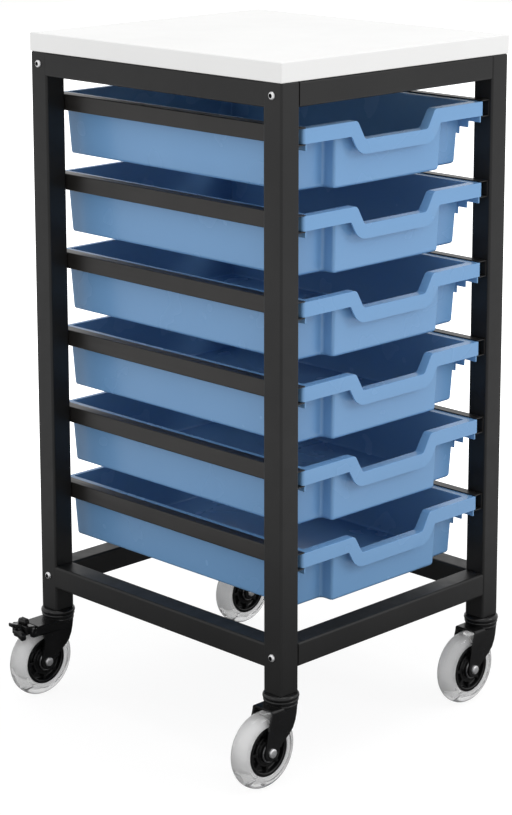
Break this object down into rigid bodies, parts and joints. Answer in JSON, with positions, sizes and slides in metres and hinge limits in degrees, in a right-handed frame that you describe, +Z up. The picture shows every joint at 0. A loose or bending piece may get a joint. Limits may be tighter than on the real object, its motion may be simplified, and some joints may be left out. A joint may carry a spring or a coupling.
{
  "type": "classroom tray storage unit",
  "caption": "Tall mobile classroom storage unit: shallow blue pull-out trays on runners in a black square-tube frame with a white top, on swivel castors with brake pedals.",
  "frame": {"origin": "on the floor, under the middle of the unit's outer box with the castors as stored", "axes": "+Z up, -Y out of the tray fronts, +X to the right seen from the front"},
  "size_m": [0.4654, 0.442, 0.8405],
  "materials": {
    "panel_white": "white laminate on board, satin",
    "frame_black": "satin black powder coat",
    "runner_black": "satin black coated sheet",
    "tray_blue": "moulded, softly satin",
    "castor_black": "satin black",
    "tyre_grey": "pale grey, slightly translucent",
    "steel": "zinc plated"
  },
  "bodies": {
    "frame": {"top_panel": "panel_white", "side_frame_left": "frame_black", "side_frame_right": "frame_black", "top_beam_front": "frame_black", "screw_top_front_left": "steel", "screw_top_front_right": "steel", "lower_beam_front": "frame_black", "screw_lower_front_left": "steel", "screw_lower_front_right": "steel", "top_beam_rear": "frame_black", "screw_top_rear_left": "steel", "screw_top_rear_right": "steel", "lower_beam_rear": "frame_black", "screw_lower_rear_left": "steel", "screw_lower_rear_right": "steel", "runner_left_1": "runner_black", "runner_right_1": "runner_black", "runner_left_2": "runner_black", "runner_right_2": "runner_black", "runner_left_3": "runner_black", "runner_right_3": "runner_black", "runner_left_4": "runner_black", "runner_right_4": "runner_black", "runner_left_5": "runner_black", "runner_right_5": "runner_black", "runner_left_6": "runner_black", "runner_right_6": "runner_black", "castor_socket_front_left": "castor_black", "castor_socket_front_right": "castor_black", "castor_socket_rear_left": "castor_black", "castor_socket_rear_right": "castor_black"},
    "tray_body_1": {"tray_1": "tray_blue"},
    "tray_body_2": {"tray_2": "tray_blue"},
    "tray_body_3": {"tray_3": "tray_blue"},
    "tray_body_4": {"tray_4": "tray_blue"},
    "tray_body_5": {"tray_5": "tray_blue"},
    "tray_body_6": {"tray_6": "tray_blue"},
    "castor_front_left": {"castor_fork_front_left": "castor_black", "castor_axle_front_left": "steel"},
    "wheel_front_left": {"wheel_hub_front_left": "castor_black", "wheel_tyre_front_left": "tyre_grey"},
    "castor_front_right": {"castor_fork_front_right": "castor_black", "castor_axle_front_right": "steel"},
    "wheel_front_right": {"wheel_hub_front_right": "castor_black", "wheel_tyre_front_right": "tyre_grey"},
    "castor_rear_left": {"castor_fork_rear_left": "castor_black", "castor_axle_rear_left": "steel"},
    "wheel_rear_left": {"wheel_hub_rear_left": "castor_black", "wheel_tyre_rear_left": "tyre_grey"},
    "pedal_rear_left": {"brake_pedal_rear_left": "castor_black"},
    "castor_rear_right": {"castor_fork_rear_right": "castor_black", "castor_axle_rear_right": "steel"},
    "wheel_rear_right": {"wheel_hub_rear_right": "castor_black", "wheel_tyre_rear_right": "tyre_grey"},
    "pedal_rear_right": {"brake_pedal_rear_right": "castor_black"}
  },
  "joints": [
    {"name": "tray_slide_1", "type": "slide", "parent": "frame", "child": "tray_body_1", "axis": [0, -1, 0], "range_m": [0, 0.28]},
    {"name": "tray_slide_2", "type": "slide", "parent": "frame", "child": "tray_body_2", "axis": [0, -1, 0], "range_m": [0, 0.28]},
    {"name": "tray_slide_3", "type": "slide", "parent": "frame", "child": "tray_body_3", "axis": [0, -1, 0], "range_m": [0, 0.28]},
    {"name": "tray_slide_4", "type": "slide", "parent": "frame", "child": "tray_body_4", "axis": [0, -1, 0], "range_m": [0, 0.28]},
    {"name": "tray_slide_5", "type": "slide", "parent": "frame", "child": "tray_body_5", "axis": [0, -1, 0], "range_m": [0, 0.28]},
    {"name": "tray_slide_6", "type": "slide", "parent": "frame", "child": "tray_body_6", "axis": [0, -1, 0], "range_m": [0, 0.28]},
    {"name": "swivel_front_left", "type": "hinge", "parent": "frame", "child": "castor_front_left", "pos_m": [-0.14775, -0.1995, 0.096], "axis": [0, 0, 1], "continuous": true},
    {"name": "roll_front_left", "type": "hinge", "parent": "castor_front_left", "child": "wheel_front_left", "pos_m": [-0.17825, -0.1995, 0.046], "axis": [0, 1, 0], "continuous": true},
    {"name": "swivel_front_right", "type": "hinge", "parent": "frame", "child": "castor_front_right", "pos_m": [0.21125, -0.1995, 0.096], "axis": [0, 0, 1], "continuous": true},
    {"name": "roll_front_right", "type": "hinge", "parent": "castor_front_right", "child": "wheel_front_right", "pos_m": [0.18075, -0.1995, 0.046], "axis": [0, 1, 0], "continuous": true},
    {"name": "swivel_rear_left", "type": "hinge", "parent": "frame", "child": "castor_rear_left", "pos_m": [-0.14775, 0.1995, 0.096], "axis": [0, 0, 1], "continuous": true},
    {"name": "roll_rear_left", "type": "hinge", "parent": "castor_rear_left", "child": "wheel_rear_left", "pos_m": [-0.17825, 0.1995, 0.046], "axis": [0, 1, 0], "continuous": true},
    {"name": "brake_rear_left", "type": "hinge", "parent": "castor_rear_left", "child": "pedal_rear_left", "pos_m": [-0.19975, 0.1995, 0.092], "axis": [0, -1, 0], "range_deg": [0, 11]},
    {"name": "swivel_rear_right", "type": "hinge", "parent": "frame", "child": "castor_rear_right", "pos_m": [0.21125, 0.1995, 0.096], "axis": [0, 0, 1], "continuous": true},
    {"name": "roll_rear_right", "type": "hinge", "parent": "castor_rear_right", "child": "wheel_rear_right", "pos_m": [0.18075, 0.1995, 0.046], "axis": [0, 1, 0], "continuous": true},
    {"name": "brake_rear_right", "type": "hinge", "parent": "castor_rear_right", "child": "pedal_rear_right", "pos_m": [0.15925, 0.1995, 0.092], "axis": [0, -1, 0], "range_deg": [0, 11]}
  ]
}
